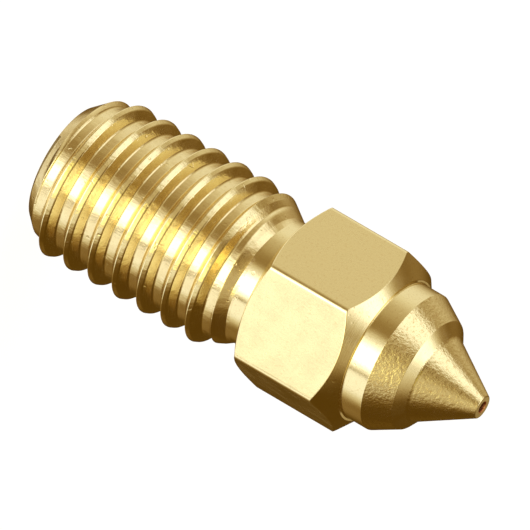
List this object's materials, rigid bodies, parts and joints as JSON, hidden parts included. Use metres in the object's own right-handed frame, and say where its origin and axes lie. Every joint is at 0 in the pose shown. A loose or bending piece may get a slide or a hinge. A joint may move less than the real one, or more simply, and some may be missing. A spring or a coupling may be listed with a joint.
{
  "type": "extrusion nozzle",
  "caption": "Brass extrusion nozzle: M6 x 1 threaded shank, relief neck, chamfered hexagon and tapered tip around a stepped filament bore.",
  "frame": {"origin": "centre of the shank's flat end, the face that seals against the heat break and that the part stands on", "axes": "+Z along the bore axis towards the tip; two of the hexagon's corners lie on +X and -X, and two of its wrench flats face +Y and -Y"},
  "size_m": [0.007, 0.006, 0.017],
  "materials": {
    "brass": "turned and lightly polished, satin on the tip, grainy on the broad cone"
  },
  "bodies": {
    "root": {"nozzle": "brass"}
  },
  "joints": []
}
